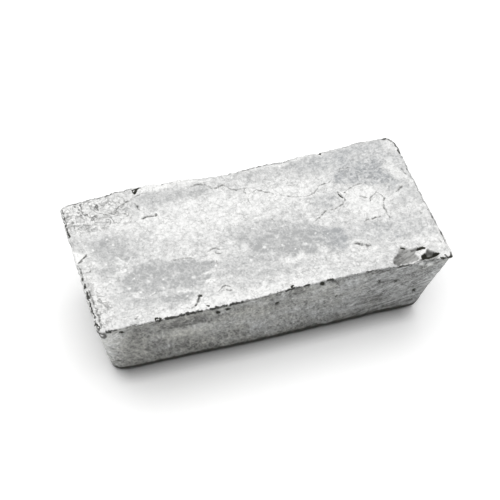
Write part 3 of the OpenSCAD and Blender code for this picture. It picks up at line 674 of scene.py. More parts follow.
# What the walls show, in millimetres; place runs along the front, down is measured down the wall.
walls = {
    "roughHeight": 0.22,
    "drawHeight": 0.10,          # marks drawn down the wall, aslant
    "drawSlant": 0.34,
    "drawLength": 2.6,
    "fineHeight": 0.08,
    # noises: strength, size, octaves and seed
    "noises": {
        "lumps": (0.3, 19.0, 1, 761),
        "rough": (1, 5.5, 4, 731),
        "crustGrit": (0.28, 2.4, 3, 791),
        "jagX": (0.5, 3.0, 2, 851),          # make the pits and spots jagged
        "jagDown": (0.7, 3.0, 2, 881),
        "driftX": (3, 9.0, 3, 921),          # bend the darker and lighter places
        "driftDown": (3, 9.0, 3, 931),
        "clouds": (0.16, 24.0, 3, 951),
    },
    "drawn": (1, 2.6, 3, 701),
    "fine": (1, 1.8, 2, 746),
    "blotches": (1, 16.0, 4, 911),
    "middleTone": 0.37,
    "blotchTone": 0.12,
    "roughTone": 0.05,
    "drawnTone": 0.10,
    "fineTone": 0.12,
    "listedTone": 0.8,           # share of the strengths listed below
    "spotTone": 1.2,
    "ringTone": 1.3,
    "pitDepth": 0.7,
    "ringHeight": 0.15,
    "footDark": 5.7,             # height of the band of painted shade along the foot
    # skin chipped off below the notch: middle across, half width, height, and from where to the left
    "chipped": (6, 5.2, 13),
    "chippedFrom": (85, 88),
    # pits in the front, painted dark as the shade in them: place, down, half width, half height, darkness
    "frontPits": (
        (-33.4, 9, 1.4, 2.2, 1.0), (-28, 7.6, 1.5, 2.4, 1.0), (-25.4, 7.4, 1.6, 1.4, 0.45),
        (24.7, 3.4, 1.5, 2.4, 1.0), (0.6, 15.3, 1.2, 1.8, 0.8), (33.9, 6.9, 0.9, 1.8, 0.55),
        (43.6, 9.2, 1.0, 1.6, 0.65), (67.8, 1.2, 0.8, 2.4, 0.65), (59.6, 16.2, 1.0, 1.8, 0.75),
        (70, 20.4, 1.0, 1.8, 0.8), (35.8, 24.4, 1.1, 2.0, 0.8), (38.7, 24, 1.4, 1.8, 0.6),
        (30, 28, 0.8, 2.2, 0.6), (85, 40, 1.3, 2.2, 0.95), (-87, 48, 1.8, 2.4, 0.6),
        (-86.2, 7.0, 1.4, 2.4, 0.9), (44, 39, 1.0, 2.2, 0.6), (52, 49, 1.6, 1.4, 0.6),
        (28.5, 44, 0.9, 2.2, 0.6), (75, 26.5, 0.8, 1.8, 0.6), (82.5, 28, 0.9, 1.8, 0.6),
        (-43, 16, 1.2, 1.8, 0.6), (80, 39, 1.0, 1.6, 0.5), (-66, 3, 0.9, 1.6, 0.8),
        (65, 30, 0.7, 2.0, 0.6), (89.5, 3.5, 1.0, 1.8, 0.7), (-57, 52, 1.2, 1.6, 0.4),
    ),
    # darker and lighter places on the front: place, down, half length, half height, strength
    "frontTones": (
        (-89.5, 12, 9, 12, 0.3), (-91, 26, 6, 12, 0.22), (55, 2, 14, 3.4, -0.22),
        (-75, 11, 12, 10, -0.24), (-48, 13.5, 16, 5.5, -0.45), (-57, 28, 4, 5, 0.2),
        (-45, 25, 13, 6, 0.36), (-66, 33, 6, 8, -0.25), (-81, 40, 8, 10, -0.08), (-58, 46, 18, 9, -0.28),
        (-29, 30, 5, 5, 0.05), (-27, 42, 4, 6, -0.2), (-33, 52, 4, 5, -0.2), (-15, 22, 12, 18, 0.2),
        (-15, 50, 12, 7, -0.06), (11, 9, 5, 3.5, -0.25), (23, 7, 9, 6, 0.32), (34, 20, 16, 11, 0.16),
        (46, 8, 6, 5, 0.25), (58, 22, 7, 8, -0.1), (61, 37, 8, 9, -0.3), (74, 40, 7, 10, -0.02),
        (80, 20, 14, 15, -0.08), (93, 26, 4, 12, 0.3), (70, 53, 26, 8, -0.24), (28, 50, 16, 8, -0.14),
        (96, 7, 3, 4, 0.45), (-96, 20, 3, 16, 0.5), (-93, 40, 4, 16, 0.3), (5, 30, 14, 12, 0.08),
    ),
    # bright spots on the front, listed like the pits
    "frontSpots": ((81.4, 3.2, 1.7, 3.2, 1.0), (87.2, 6.5, 2.2, 3.0, 1.0), (89.5, 3.4, 1.8, 1.8, 0.7),
        (45, 7, 1.0, 1.6, 0.5), (2.4, 4.5, 0.9, 2.2, 0.5), (41.5, 6.5, 1.2, 2, 0.3)),
    # dark ring of painted crevice shade at the front left corner: place, place across, down, radius and half
    # height
    "rings": ((-97.5, -46.0, 6.8, 2.2, 5.2),),
    # rows of the crust: drop below the crest, how far inside the outermost line, share of wall
    "crustRows": ((0.5, 0.16, 0.1), (1.0, 0.0, 0.2), (1.7, 0.05, 0.4), (2.4, 0.25, 0.7),
        (3.1, 0.75, 1.0)),
}


# An upright oval on the front: 1 within it, fading to 0, and leaning with the drawn marks.
def frontMark(x, down, place, depth, rx, ry):
    lean = x - place - walls["drawSlant"] * (down - depth)
    return 1 - step(np.hypot(lean / rx, (down - depth) / ry), 0.4, 1.3)


# Relief of the walls, outwards, and their masks: lumps and roughness from noise, marks drawn
# down the wall from a noise that is stretched along a slanting line, and the pits of the front.
def wallSurface(x, y, z, crust):
    w = walls
    noise = {name: listedNoise(x, y, z, listed) for name, listed in w["noises"].items()}
    down = (bar["height"] - z) / math.cos(math.radians(bar["sideDraft"]))
    slid = w["drawSlant"] * down
    drawn = listedNoise(x - slid, y - slid, down / w["drawLength"], w["drawn"])
    fine = listedNoise(x, y, z * 0.6, w["fine"])
    blotch = listedNoise(x, y, z * 1.3, w["blotches"])
    rough = noise["rough"]
    relief = noise["lumps"] + w["roughHeight"] * rough + w["drawHeight"] * drawn + w["fineHeight"] * fine
    relief += crust * noise["crustGrit"]

    front = step(-y, 25, 30)
    tone = w["middleTone"] + w["blotchTone"] * blotch + w["roughTone"] * rough
    tone += w["drawnTone"] * drawn + w["fineTone"] * fine
    driftX, driftDown = x + noise["driftX"], down + noise["driftDown"]
    for place, depth, rx, ry, strength in w["frontTones"]:
        out = np.hypot((driftX - place) / rx, (driftDown - depth) / ry)
        tone += front * w["listedTone"] * strength * (1 - step(out, 0.5, 1.3))

    jagX, jagDown = x + noise["jagX"], down + noise["jagDown"]
    dark, hole, ringed, glint = x * 0, x * 0, x * 0, x * 0
    # painted shade in the pits: darker with their darkness
    for place, depth, rx, ry, darkness in w["frontPits"]:
        pit = front * frontMark(jagX, jagDown, place, depth, rx, ry)
        relief -= w["pitDepth"] * darkness * pit
        dark = np.maximum(dark, darkness * pit)
        if darkness > 0.7:       # the darkest pits are holes, painted black
            hole = np.maximum(hole, min(1, darkness + 0.1) * pit)
    # the ring is painted as the shade of a crevice round a light middle
    for place, across, depth, radius, tall in w["rings"]:
        away = ((x - place) / radius) ** 2 + ((y - across) / radius) ** 2 + ((jagDown - depth) / tall) ** 2
        out = np.sqrt(away)
        ringed = np.maximum(ringed, np.clip(1.8 - np.abs(out - 1) / 0.34, 0, 1))
        relief += w["ringHeight"] * (1 - step(out, 0, 1))
        tone += (1 - step(out, 0.4, 0.8)) * (w["ringTone"] - tone)
    for place, depth, rx, ry, strength in w["frontSpots"]:
        spot = front * strength * frontMark(jagX, jagDown, place, depth, rx, ry)
        tone += w["spotTone"] * spot
        if strength >= 0.8:      # the brightest spots show the skin of the top face
            glint = np.maximum(glint, spot)

    # painted shade along the foot, and less of it a little higher
    footTop = w["footDark"] * (0.4 + 0.6 * front * (1 - step(-x, 85, 92)))
    dark = np.maximum(dark, 0.97 * (1 - step(z + 0.4 * rough, footTop * 0.8, footTop * 1.3)))
    dark = np.maximum(dark, 0.3 * (1 - step(z + rough, footTop, footTop * 2.4)))
    tone += (1 - front) * noise["clouds"]
    middle, halfWide, tall = w["chipped"]
    away = np.hypot((y - middle) / halfWide, (bar["height"] - z) / tall) + 0.22 * rough
    chipped = step(-x, *w["chippedFrom"]) * (1 - step(away, 0.75, 1.15))
    tone += chipped * (1.0 - tone)
    calm = np.maximum(step(-x, 35, 60), step(x, 35, 50) * step(down, 28, 40))
    corner = step(-x, 80, 90)
    return relief, {
        "tone": np.clip(tone, 0, 1.5),
        "wormy": front * corner,
        "crack": ringed,
        "dark": np.clip(dark, 0, 1),
        "hole": np.clip(hole, 0, 1),
        "frost": 1 - front * calm,
        "scar": x * 0,
        "wall": 1 - np.maximum(chipped, glint),
        "blue": np.clip(0.5 + 0.6 * blotch + 0.006 * x + 0.5 * step(-x, 78, 90), 0, 1),
        "rimShade": rimShadeLine(x, y),
        "line": lineGap(x, y, np.maximum(z - bar["height"] + bar["headroom"], -12)),
    }


# How far the rim's outline is pulled in at a place by its own roughness; the front right
# corner stays sharp.
def raggedRim(x, y):
    pull = listedNoise(x, y, x * 0, bar["rimTeeth"]) + listedNoise(x, y, x * 0, bar["rimNicks"])
    sharp = step(x, 90, 96) * step(-y, 38, 44)
    lively = 1 - bar["raggedCalm"] * step(x, -40, 30)
    return (1 - sharp) * np.clip(bar["raggedMiddle"] + lively * pull, 0, bar["raggedMost"])


# Unit normals of a band of rows and columns of points that closes on itself along its rows:
# the cross product of the steps to the next column and to the row above.
def bandNormals(points):
    along = np.roll(points, -1, 1) - np.roll(points, 1, 1)
    down = np.gradient(points, axis=0)
    normal = np.cross(along, -down)
    return normal / np.maximum(np.linalg.norm(normal, axis=2, keepdims=True), 1e-9)


# Faces between two closed rings of point numbers with as many points each, lower ring second.
def bandFaces(upper, lower):
    upNext, lowNext = np.roll(upper, -1), np.roll(lower, -1)
    return np.stack([lower, lowNext, upNext, upper], 1)


# Triangles between a ring and one with half as many points below it, three to each pair.
def halvingFaces(upper, lower):
    first, middle, last = upper[0::2], upper[1::2], np.roll(upper, -2)[0::2]
    lowNext = np.roll(lower, -1)
    return np.concatenate([
        np.stack([lower, middle, first], 1),
        np.stack([lower, lowNext, middle], 1),
        np.stack([lowNext, last, middle], 1),
    ])


# Faces of a whole grid of point numbers, pointing upwards; those of its transpose point down.
def gridFaces(number):
    return np.stack([number[:-1, :-1], number[1:, :-1], number[1:, 1:], number[:-1, 1:]], 2).reshape(-1, 4)


# Faces from a ring of point numbers down through rows of points numbered from start. The first
# row may have half as many points as the ring. Returned with them are the last row's numbers.
def ringFaces(ring, start, rows, count):
    faces = []
    for k in range(rows):
        lower = start + k * count + np.arange(count)
        faces.append(bandFaces(ring, lower) if len(ring) == count else halvingFaces(ring, lower))
        ring = lower
    return faces, ring


# Top face: a grid in plan with its relief upwards. Its edge follows the raggedness of the rim.
def makeTop(u, v, crestA, crestB):
    x, y = planPoint(u, v, crestA, crestB, bar["rimRadii"], 1, 1)
    endGap, sideGap = (1 - np.abs(u)) * crestA, (1 - np.abs(v)) * crestB
    ragged = raggedRim(x, y)
    topX = x - np.sign(u) * ragged * (1 - step(endGap, 0, bar["raggedReach"]))
    topY = y - np.sign(v) * ragged * (1 - step(sideGap, 0, bar["raggedReach"]))
    height, masks = topSurface(x, y, np.minimum(endGap, sideGap))
    return x, y, height, np.stack([topX, topY, bar["height"] - bar["headroom"] + height], 2), masks


# Rings of the crust from the top face's edge down. Each follows the outline of the bar and the
# raggedness of the edge above it, and the masks pass over from the top face's to the wall's.
def makeCrust(u, v, edgeX, edgeY, edgeZ, topMasks):
    halfLength, halfWidth = bar["length"] / 2 - bar["inset"], bar["width"] / 2 - bar["inset"]
    rows, shares, drops = [], [], []
    for drop, inset, share in walls["crustRows"]:
        bite = max(0, 1 - drop / bar["biteEnd"])
        px, py = planPoint(u, v, halfLength - inset, halfWidth - inset, bar["rimRadii"], 1, bite)
        pull = raggedRim(edgeX, edgeY) * (1 - 0.7 * share)
        px, py = px - np.sign(u) * pull * (np.abs(u) == 1), py - np.sign(v) * pull * (np.abs(v) == 1)
        z = bar["height"] - bar["headroom"] - drop + (edgeZ + topFace["crestFall"]) * (1 - share)
        rows.append(np.stack([px, py, z], 1))
        shares.append(px * 0 + share)
        drops.append(px * 0 + drop)
    crust, share = np.array(rows), np.array(shares)
    relief, masks = wallSurface(*np.moveaxis(crust, 2, 0), 1)
    crust = crust + bandNormals(crust) * (relief * share)[..., None]
    masks["wall"] = share * masks["wall"]
    masks["line"] = lineGap(crust[..., 0], crust[..., 1], -np.array(drops))
    over = step(share, 0.05, 0.3)
    for name in topMasks:
        if name not in ("wall", "line"):
            masks[name] = topMasks[name] * (1 - over) + masks[name] * over
    return crust, masks


# Rings of the drafted walls and, below them, of the foot, which bends in a quarter circle.
def makeWall(u, v):
    r = bar["baseEdgeRadius"]
    top = bar["height"] - bar["wallStart"]
    rows = []
    for t in np.linspace(0, 1, bar["wallRows"]) ** bar["wallGather"]:
        z = top - t * (top - r)
        a, b, radii = wallPlan(z)
        up = (z - r) / (bar["wallTop"] - r)
        px, py = planPoint(u, v, a, b, radii, bar["wallPull"] * up)
        py += (v < 0) * listedPull(px, bar["footPull"]) * (1 - up) ** 2
        px += cornerPush(u, v) * (1 - up)
        rows.append(np.stack([px, py, px * 0 + z], 1))
    for bend in np.radians(np.linspace(90, 0, bar["baseBendRows"] + 1)[1:]):
        z = r * (1 - math.cos(bend))
        a, b, radii = wallPlan(z)
        px, py = planPoint(u, v, a + r * (math.sin(bend) - 1), b + r * (math.sin(bend) - 1), radii, 0)
        py += (v < 0) * listedPull(px, bar["footPull"])
        px += cornerPush(u, v)
        rows.append(np.stack([px, py, px * 0 + z], 1))
    wall = np.array(rows)
    relief, masks = wallSurface(*np.moveaxis(wall, 2, 0), 0)
    calm = step(wall[..., 2], 0, bar["calmHeight"])
    return wall + bandNormals(wall) * (relief * calm)[..., None], masks


# Base: a flat grid inside the bend of the foot.
def makeBase(u, v):
    a, b, radii = wallPlan(0)
    inner = bar["baseEdgeRadius"] + bar["baseInset"]
    px, py = planPoint(u, v, a - inner, b - inner, radii, 0)
    _, masks = wallSurface(px, py, px * 0, 0)
    # the base carries the painted shade of the foot at a third of its strength
    masks["dark"] = 0.3 * masks["dark"]
    return np.stack([px, py, px * 0], 2), masks


# The whole bar, closed: the top face, the crust round its edge, the walls and the foot at half
# as many points round, and the base at half as many again, with its faces turned downwards.
def makeBar():
    n, m = bar["facesAlong"], bar["facesAcross"]
    i, j = np.meshgrid(np.arange(n + 1), np.arange(m + 1), indexing="ij")
    crestA = bar["length"] / 2 - bar["inset"] - bar["crestInset"]
    crestB = bar["width"] / 2 - bar["inset"] - bar["crestInset"]
    x, y, height, top, topMasks = makeTop(2 * i / n - 1, 2 * j / m - 1, crestA, crestB)
    number = i * (m + 1) + j
    faces = [gridFaces(number)]

    ri, rj = rimOrder(n, m)
    u, v = 2 * ri / n - 1, 2 * rj / m - 1
    rimMasks = {name: values[ri, rj] for name, values in topMasks.items()}
    crust, crustMasks = makeCrust(u, v, x[ri, rj], y[ri, rj], height[ri, rj], rimMasks)
    more, ring = ringFaces(number[ri, rj], number.size, len(crust), len(u))
    faces += more
    start = number.size + crust[..., 0].size

    u, v = u[::2], v[::2]
    wall, wallMasks = makeWall(u, v)
    more, ring = ringFaces(ring, start, len(wall), len(u))
    faces += more
    start += wall[..., 0].size

    n, m = n // 4, m // 4
    i, j = np.meshgrid(np.arange(n + 1), np.arange(m + 1), indexing="ij")
    base, baseMasks = makeBase(2 * i / n - 1, 2 * j / m - 1)
    number = start + i * (m + 1) + j
    ri, rj = rimOrder(n, m)
    faces += [halvingFaces(ring, number[ri, rj]), gridFaces(number.T)]

    half = (bar["length"] / 2, bar["width"] / 2)
    points = np.concatenate([part.reshape(-1, 3) for part in (top, crust, wall, base)])
    points = points.clip((-half[0], -half[1], 0), (*half, bar["height"]))
    attributes = {}
    for name in topMasks:
        parts = (topMasks[name], crustMasks[name], wallMasks[name], baseMasks[name])
        attributes[name] = np.concatenate([part.reshape(-1) for part in parts])
    return points * mm, faces, attributes


# A mesh object from points, blocks of faces and one number per point for each named attribute.
def meshFrom(name, points, faces, attributes):
    corners = np.concatenate([block.reshape(-1) for block in faces]).astype(np.int32)
    sizes = np.concatenate([np.full(len(block), block.shape[1]) for block in faces])
    mesh = bpy.data.meshes.new(name)
    mesh.vertices.add(len(points))
    mesh.vertices.foreach_set("co", points.astype(np.float32).reshape(-1))
    mesh.loops.add(len(corners))
    mesh.loops.foreach_set("vertex_index", corners)
    mesh.polygons.add(len(sizes))
    mesh.polygons.foreach_set("loop_start", (np.cumsum(sizes) - sizes).astype(np.int32))
    mesh.polygons.foreach_set("use_smooth", np.ones(len(sizes), bool))
    mesh.update(calc_edges=True)
    for key, values in attributes.items():
        mesh.attributes.new(key, "FLOAT", "POINT").data.foreach_set("value", values.astype(np.float32))
    piece = bpy.data.objects.new(name, mesh)
    bpy.context.scene.collection.objects.link(piece)
    return piece


print("bar: working out the surface")
points, faces, attributes = makeBar()
castBar = meshFrom("castBar", points, faces, attributes)
print("bar:", len(points), "points,", sum(len(block) * (block.shape[1] - 2) for block in faces), "triangles")


# A node with its inputs set by name or number; an input may be another node's output.
def addNode(tree, kind, inputs={}, **settings):
    node = tree.nodes.new(kind)
    for name, value in settings.items():
        setattr(node, name, value)
    for name, value in inputs.items():
        if isinstance(value, bpy.types.NodeSocket):
            tree.links.new(value, node.inputs[name])
        else:
            node.inputs[name].default_value = value
    return node


# A Math node in the tree of the first of its values that is an output.
def maths(operation, a, b=0.0, clamp=False):
    tree = (a if isinstance(a, bpy.types.NodeSocket) else b).id_data
    return addNode(tree, "ShaderNodeMath", {0: a, 1: b}, operation=operation, use_clamp=clamp).outputs[0]


# Sum, difference, product, the larger of two and how far two are apart.
def plus(a, b, clamp=False):
    return maths("ADD", a, b, clamp)


def minus(a, b):
    return maths("SUBTRACT", a, b)


def times(a, b):
    return maths("MULTIPLY", a, b)


def larger(a, b):
    return maths("MAXIMUM", a, b)


def apart(a, b):
    return maths("ABSOLUTE", minus(a, b))


# Straight from low..high to start..end, held at both ends.
def ranged(value, low, high, start=0.0, end=1.0):
    inputs = {0: value, 1: low, 2: high, 3: start, 4: end}
    return addNode(value.id_data, "ShaderNodeMapRange", inputs).outputs[0]


# A noise field keeps to about 0.3..0.7; this spreads it over start..end.
def spread(field, start, end):
    return ranged(field, 0.3, 0.7, start, end)


# Thin winding lines where a field crosses a level: strength within core of it, 0 past edge.
def lines(field, level, core, edge, strength=1.0):
    return ranged(apart(field, level), core, edge, strength, 0.0)


# From a to b by share, for numbers and for colours.
def mixedNumber(share, a, b):
    return addNode(share.id_data, "ShaderNodeMix", {0: share, 2: a, 3: b}, data_type="FLOAT").outputs[0]


def mixedColour(share, a, b):
    return addNode(share.id_data, "ShaderNodeMix", {0: share, 6: a, 7: b}, data_type="RGBA").outputs[2]


# Noise from 0 to 1 with bumps about as wide as size.
def noiseField(place, size, detail, roughness):
    inputs = {"Vector": place, "Scale": 1 / size, "Detail": detail, "Roughness": roughness}
    return addNode(place.id_data, "ShaderNodeTexNoise", inputs).outputs[0]


# Coordinates turned about the width by lean degrees and then drawn out upwards.
def drawnOut(place, lean, length):
    turned = {"Vector": place, "Rotation": (0, math.radians(lean), 0)}
    turned = addNode(place.id_data, "ShaderNodeMapping", turned).outputs[0]
    stretched = {"Vector": turned, "Scale": (1, 1, 1 / length)}
    return addNode(place.id_data, "ShaderNodeMapping", stretched).outputs[0]


# One of the masks that the mesh carries.
def attribute(tree, name):
    return addNode(tree, "ShaderNodeAttribute", attribute_name=name).outputs["Fac"]


metal = {
    "brightTop": (0.95, 0.95, 0.94, 1),
    "dullTop": (0.425, 0.43, 0.43, 1),
    "blueTop": (0.365, 0.38, 0.395, 1),
    "oliveWall": (0.75, 0.75, 0.70, 1),
    "coolWall": (0.735, 0.75, 0.75, 1),
    "darkWall": (0.125, 0.125, 0.12, 1),
    "scarGrey": (0.40, 0.40, 0.39, 1),
    "scarDark": (0.11, 0.11, 0.105, 1),
    "paintedShadeBlack": (0.03, 0.031, 0.023, 1),
    "paintedShadeGrey": (0.06, 0.06, 0.055, 1),
    "metallic": 0.1,
    "topRoughness": 0.7,
    "wallRoughness": 0.62,
    "paintedShadeRoughness": 0.9,
    "roughnessShift": 0.1,
    # noise fields: size in millimetres, detail and roughness
    "fields": {
        "speckle": (1.2, 3.0, 0.6),
        "fine": (0.55, 2.0, 0.6),
        "mottle": (5.5, 3.0, 0.55),
        "flake": (3.0, 3.0, 0.6),
        "wavy": (4.4, 3.0, 0.55),
        "jag": (1.7, 3.0, 0.65),
        "curl": (4.6, 2.0, 0.45),
        "swirl": (6.5, 2.0, 0.5),
    },
    "mark": (2.0, 4.0, 0.65),
    "web": (2.8, 2.0, 0.5),
    "sweep": (1.8, 4.0, 0.6),
    "drawnLength": 3.0,          # how much longer than wide the marks on the walls are
    "drawnLean": 18.0,           # degrees from upright
    "sweptLean": -68.0,          # and of those near the right end
    "sweptLength": 4.0,
    "sweptFrom": (30.0, 60.0),   # where along the bar they take over
    "grainSize": 2.3,
    # what the fields take from the tone and add to it
    "topSpeckle": (-0.22, 0.26),
    "topMottle": (-0.1, 0.1),
    "topFlake": (-0.24, 0.24),
    "topFine": (-0.1, 0.1),
    "topFleck": 0.8,
    "wallMark": (-0.3, 0.3),
    "wallSweep": (-0.42, 0.42),
    "wallSpeckle": (-0.3, 0.3),
    "wallVein": (0.04, 0.3),
    # how strongly the lines on the top face and the walls show
    "cellLines": 0.24,
    "grainLines": (0.1, 0.6),
    "curlGrooves": (0.4, 1.0),
    "skinStrokes": 0.22,
    "wallCurls": 0.75,
    "shadeWidth": 0.65,            # half width of the full painted shade line of the rim, millimetres
    "bumpDepth": 0.0004,         # metres
}


# Cast tellurium: the masks choose between the bright frosted skin, dull skin, walls and scar.
# Speckles and the outlines of crystal grains lighten and darken it, pits and holes are painted near
# black as shade, and a jagged line of painted shade follows the rim where its half width is more
# than the distance from its middle.
def castTellurium():
    material = bpy.data.materials.new("castTellurium")
    material.use_nodes = True
    tree = material.node_tree
    shader = tree.nodes["Principled BSDF"]
    place = addNode(tree, "ShaderNodeTexCoord").outputs["Object"]
    place = addNode(tree, "ShaderNodeMapping", {"Vector": place, "Scale": [1 / mm] * 3}).outputs[0]
    drawn = drawnOut(place, metal["drawnLean"], metal["drawnLength"])
    dragged = drawnOut(place, metal["sweptLean"], metal["sweptLength"])

    wall, tone, blue = (attribute(tree, name) for name in ("wall", "tone", "blue"))
    frost, wormy, scar = (attribute(tree, name) for name in ("frost", "wormy", "scar"))
    dark, crack, hole = (attribute(tree, name) for name in ("dark", "crack", "hole"))
    rimShade, line = (attribute(tree, name) for name in ("rimShade", "line"))
    field = {name: noiseField(place, *listed) for name, listed in metal["fields"].items()}
    speckle, fine, mottle, jag = (field[name] for name in ("speckle", "fine", "mottle", "jag"))
    mark = noiseField(drawn, *metal["mark"])
    cells = {"Vector": place, "Scale": 1 / metal["grainSize"]}
    grain = addNode(tree, "ShaderNodeTexVoronoi", cells, feature="DISTANCE_TO_EDGE").outputs[0]
    onWall = ranged(plus(wall, spread(jag, -0.12, 0.12)), 0.2, 0.3)

    # the skin of the top face, from dull or bluish to bright
    topTone = plus(tone, spread(speckle, *metal["topSpeckle"]))
    topTone = plus(topTone, spread(mottle, *metal["topMottle"]))
    broad = times(spread(field["flake"], *metal["topFlake"]), ranged(frost, 0.0, 0.8, 0.75, 1.0))
    topTone = plus(topTone, broad)
    topTone = plus(topTone, spread(fine, *metal["topFine"]), clamp=True)
    topTone = plus(topTone, times(ranged(speckle, 0.68, 0.74), metal["topFleck"]), clamp=True)
    top = mixedColour(topTone, mixedColour(blue, metal["dullTop"], metal["blueTop"]), metal["brightTop"])

    # its curls, with a painted highlight on their crests and painted shade beside them, and the outlines
    # of its grains
    stroke = times(lines(field["curl"], 0.5, 0.01, 0.05, metal["skinStrokes"]), minus(1.0, frost))
    paintedCrestLight = times(lines(field["swirl"], 0.5, 0.035, 0.06), wormy)
    top = mixedColour(larger(stroke, paintedCrestLight), top, metal["brightTop"])
    cell = times(ranged(grain, 0.0, 0.14, 1.0, 0.0), metal["cellLines"])
    ridge = times(lines(field["wavy"], 0.5, 0.01, 0.05), ranged(mottle, 0.38, 0.6, *metal["grainLines"]))
    outline = times(plus(cell, ridge, clamp=True), larger(times(frost, 0.5), wormy))
    paintedGrooveShade = times(lines(apart(field["swirl"], 0.5), 0.08, 0.005, 0.045), wormy)
    paintedGrooveShade = times(paintedGrooveShade, ranged(mottle, 0.38, 0.6, *metal["curlGrooves"]))
    top = mixedColour(larger(outline, paintedGrooveShade), top, metal["darkWall"])

    # the walls, with upright marks that give way to flatter ones near the right end
    across = addNode(tree, "ShaderNodeSeparateXYZ", {"Vector": place}).outputs["X"]
    swept = ranged(plus(across, spread(mottle, -15.0, 15.0)), *metal["sweptFrom"])
    sweep = spread(noiseField(dragged, *metal["sweep"]), *metal["wallSweep"])
    wallTone = plus(tone, mixedNumber(swept, spread(mark, *metal["wallMark"]), sweep))
    speck = times(spread(speckle, *metal["wallSpeckle"]), ranged(frost, 0.0, 1.0, 0.5, 1.0))
    wallTone = plus(wallTone, speck, clamp=True)
    vein = lines(noiseField(drawn, *metal["web"]), 0.5, 0.01, 0.06)
    vein = times(vein, ranged(mottle, 0.4, 0.6, *metal["wallVein"]))
    wallTone = plus(wallTone, vein, clamp=True)
    side = mixedColour(wallTone, metal["darkWall"], mixedColour(blue, metal["oliveWall"], metal["coolWall"]))
    curls = times(lines(field["curl"], 0.5, 0.01, 0.05, metal["wallCurls"]), wormy)
    side = mixedColour(curls, side, metal["brightTop"])

    # painted shade: the dark line along the rim, the cracks and the holes
    gap = maths("ABSOLUTE", plus(line, spread(jag, -0.5, 0.5)))
    half = plus(times(rimShade, metal["shadeWidth"]), spread(speckle, -0.2, 0.4))
    rimShaded = times(ranged(minus(half, gap), 0.0, 0.25), ranged(rimShade, 0.05, 0.7, 0.1, 1.0))
    cracked = ranged(plus(crack, spread(jag, -0.2, 0.16)), 0.38, 0.85, 0.0, 0.95)
    hollow = ranged(plus(hole, spread(speckle, -0.2, 0.2)), 0.42, 0.58)

    colour = mixedColour(onWall, top, side)
    scarTone = plus(tone, spread(jag, -0.3, 0.3), clamp=True)
    colour = mixedColour(scar, colour, mixedColour(scarTone, metal["scarDark"], metal["scarGrey"]))
    # painted shade: pits, holes, the pocket, worm grooves and the foot near black, the rim line and cracks
    # dark grey
    colour = mixedColour(dark, colour, metal["paintedShadeBlack"])
    colour = mixedColour(larger(rimShaded, cracked), colour, metal["paintedShadeGrey"])
    colour = mixedColour(hollow, colour, metal["paintedShadeBlack"])
    tree.links.new(colour, shader.inputs["Base Color"])

    rough = mixedNumber(onWall, metal["topRoughness"], metal["wallRoughness"])
    rough = plus(rough, spread(fine, -metal["roughnessShift"], metal["roughnessShift"]))
    # rougher where shade is painted
    paintedShaded = larger(larger(dark, rimShaded), hollow)
    tree.links.new(mixedNumber(paintedShaded, rough, metal["paintedShadeRoughness"]), shader.inputs["Roughness"])
    shader.inputs["Metallic"].default_value = metal["metallic"]

    relief = plus(times(speckle, 0.6), times(fine, 0.35))
    relief = plus(relief, times(times(mark, onWall), 0.9))
    bump = {"Height": relief, "Strength": 0.6, "Distance": metal["bumpDepth"]}
    tree.links.new(addNode(tree, "ShaderNodeBump", bump).outputs[0], shader.inputs["Normal"])
    return material


castBar.data.materials.append(castTellurium())
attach(castBar, "root")
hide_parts("ingot")
print("metal: done")


stage = {
    "floorSize": 12.0,           # metres, as the other sizes here
    "floorAlbedo": (0.62, 0.62, 0.62, 1),
    "floorSeen": (1.175, 1.175, 1.175),
    "contactReach": 0.0105,      # reach of the painted contact shadow of the floor where it meets the bar
    "contactShade": 0.12,
    "contactDepth": (-0.030, -0.026),        # the painted shadow is darkest along the front foot: where that fades out
    "contactLength": (0.080, 0.094),
    "sky": (0.40, 0.40, 0.40, 1),
    "sunStrength": 2.14,
    "sunAngle": 76.0,            # degrees across
    "sunFrom": (-0.05, 0.04, 1.0),
}


# The floor: pale, with a painted contact shadow close to the front foot of the bar, and white to
# the camera and in mirrored and refracted rays.
def floorPaint():
    material = bpy.data.materials.new("paleFloor")
    material.use_nodes = True
    tree = material.node_tree
    tree.nodes.remove(tree.nodes["Principled BSDF"])
    reach = {"Distance": stage["contactReach"]}
    openness = addNode(tree, "ShaderNodeAmbientOcclusion", reach, samples=8).outputs["AO"]
    spot = addNode(tree, "ShaderNodeTexCoord").outputs["Object"]
    spot = addNode(tree, "ShaderNodeSeparateXYZ", {"Vector": spot}).outputs
    share = times(ranged(spot["Y"], *stage["contactDepth"], 1.0, 0.0),
                  ranged(maths("ABSOLUTE", spot["X"]), *stage["contactLength"], 1.0, 0.0))
    # painted contact shadow: the floor's colour darkens with how hemmed in it is, near the front foot only
    paintedContactShadow = minus(1.0, times(share, minus(1.0, openness)))
    paintedContactShadow = ranged(paintedContactShadow, 0.0, 1.0, stage["contactShade"], 1.0)
    seenWhite = {0: stage["floorSeen"], "Scale": paintedContactShadow}
    seenWhite = addNode(tree, "ShaderNodeVectorMath", seenWhite, operation="SCALE").outputs[0]
    ray = addNode(tree, "ShaderNodeLightPath").outputs
    seen = larger(larger(ray["Is Camera Ray"], ray["Is Glossy Ray"]), ray["Is Transmission Ray"])
    paint = mixedColour(seen, stage["floorAlbedo"], seenWhite)
    diffuse = addNode(tree, "ShaderNodeBsdfDiffuse", {"Color": paint})
    tree.links.new(diffuse.outputs[0], tree.nodes["Material Output"].inputs["Surface"])
    return material


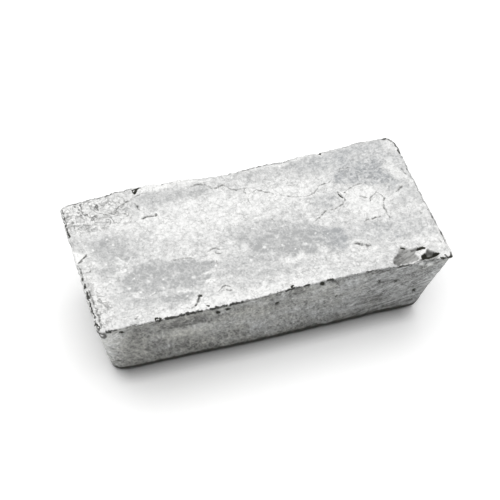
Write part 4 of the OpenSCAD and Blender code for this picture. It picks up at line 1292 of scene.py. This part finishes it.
# Floor, a world that is white to the camera and grey as a light, and one wide soft lamp.
def makeStage():
    half = stage["floorSize"] / 2
    corners = np.array([(-half, -half, 0), (half, -half, 0), (half, half, 0), (-half, half, 0)])
    floor = meshFrom("floor", corners, [np.array([[0, 1, 2, 3]])], {})
    floor.data.materials.append(floorPaint())

    world = bpy.data.worlds.new("paleRoom")
    bpy.context.scene.world = world
    world.use_nodes = True
    tree = world.node_tree
    camera = addNode(tree, "ShaderNodeLightPath").outputs["Is Camera Ray"]
    tree.links.new(mixedColour(camera, stage["sky"], (1, 1, 1, 1)), tree.nodes["Background"].inputs["Color"])

    sun = bpy.data.lights.new("softLamp", "SUN")
    sun.energy = stage["sunStrength"]
    sun.angle = math.radians(stage["sunAngle"])
    lamp = bpy.data.objects.new("softLamp", sun)
    lamp.matrix_world = Vector(stage["sunFrom"]).to_track_quat("Z", "Y").to_matrix().to_4x4()
    bpy.context.scene.collection.objects.link(lamp)


view = {
    "azimuth": -19.390,          # degrees round from the front, to the right
    "elevation": 49.399,
    "roll": 2.978,
    "distance": 0.898,
    "aside": -0.00017,           # the camera's own shift to its right and upwards, in metres
    "above": 0.0288,
    "target": (0, -0.001, 0),
    "lens": 111.29,
    "sensor": 36,
}


# Camera: its axes come from azimuth and elevation, turned about the line of sight by the roll.
def makeCamera():
    azimuth, elevation, roll = (math.radians(view[name]) for name in ("azimuth", "elevation", "roll"))
    flat = math.cos(elevation)
    back = Vector((math.sin(azimuth) * flat, -math.cos(azimuth) * flat, math.sin(elevation)))
    level = Vector((math.cos(azimuth), math.sin(azimuth), 0))
    upright = back.cross(level)
    right = math.cos(roll) * level + math.sin(roll) * upright
    up = math.cos(roll) * upright - math.sin(roll) * level
    place = Vector(view["target"]) + back * view["distance"] + right * view["aside"] + up * view["above"]
    data = bpy.data.cameras.new("camera")
    data.lens = view["lens"]
    data.sensor_width = view["sensor"]
    camera = bpy.data.objects.new("camera", data)
    camera.matrix_world = Matrix((right, up, back)).transposed().to_4x4()
    camera.location = place
    bpy.context.scene.collection.objects.link(camera)
    bpy.context.scene.camera = camera


makeStage()
makeCamera()
bpy.context.scene.view_settings.view_transform = "Standard"
print("stage and camera: done")
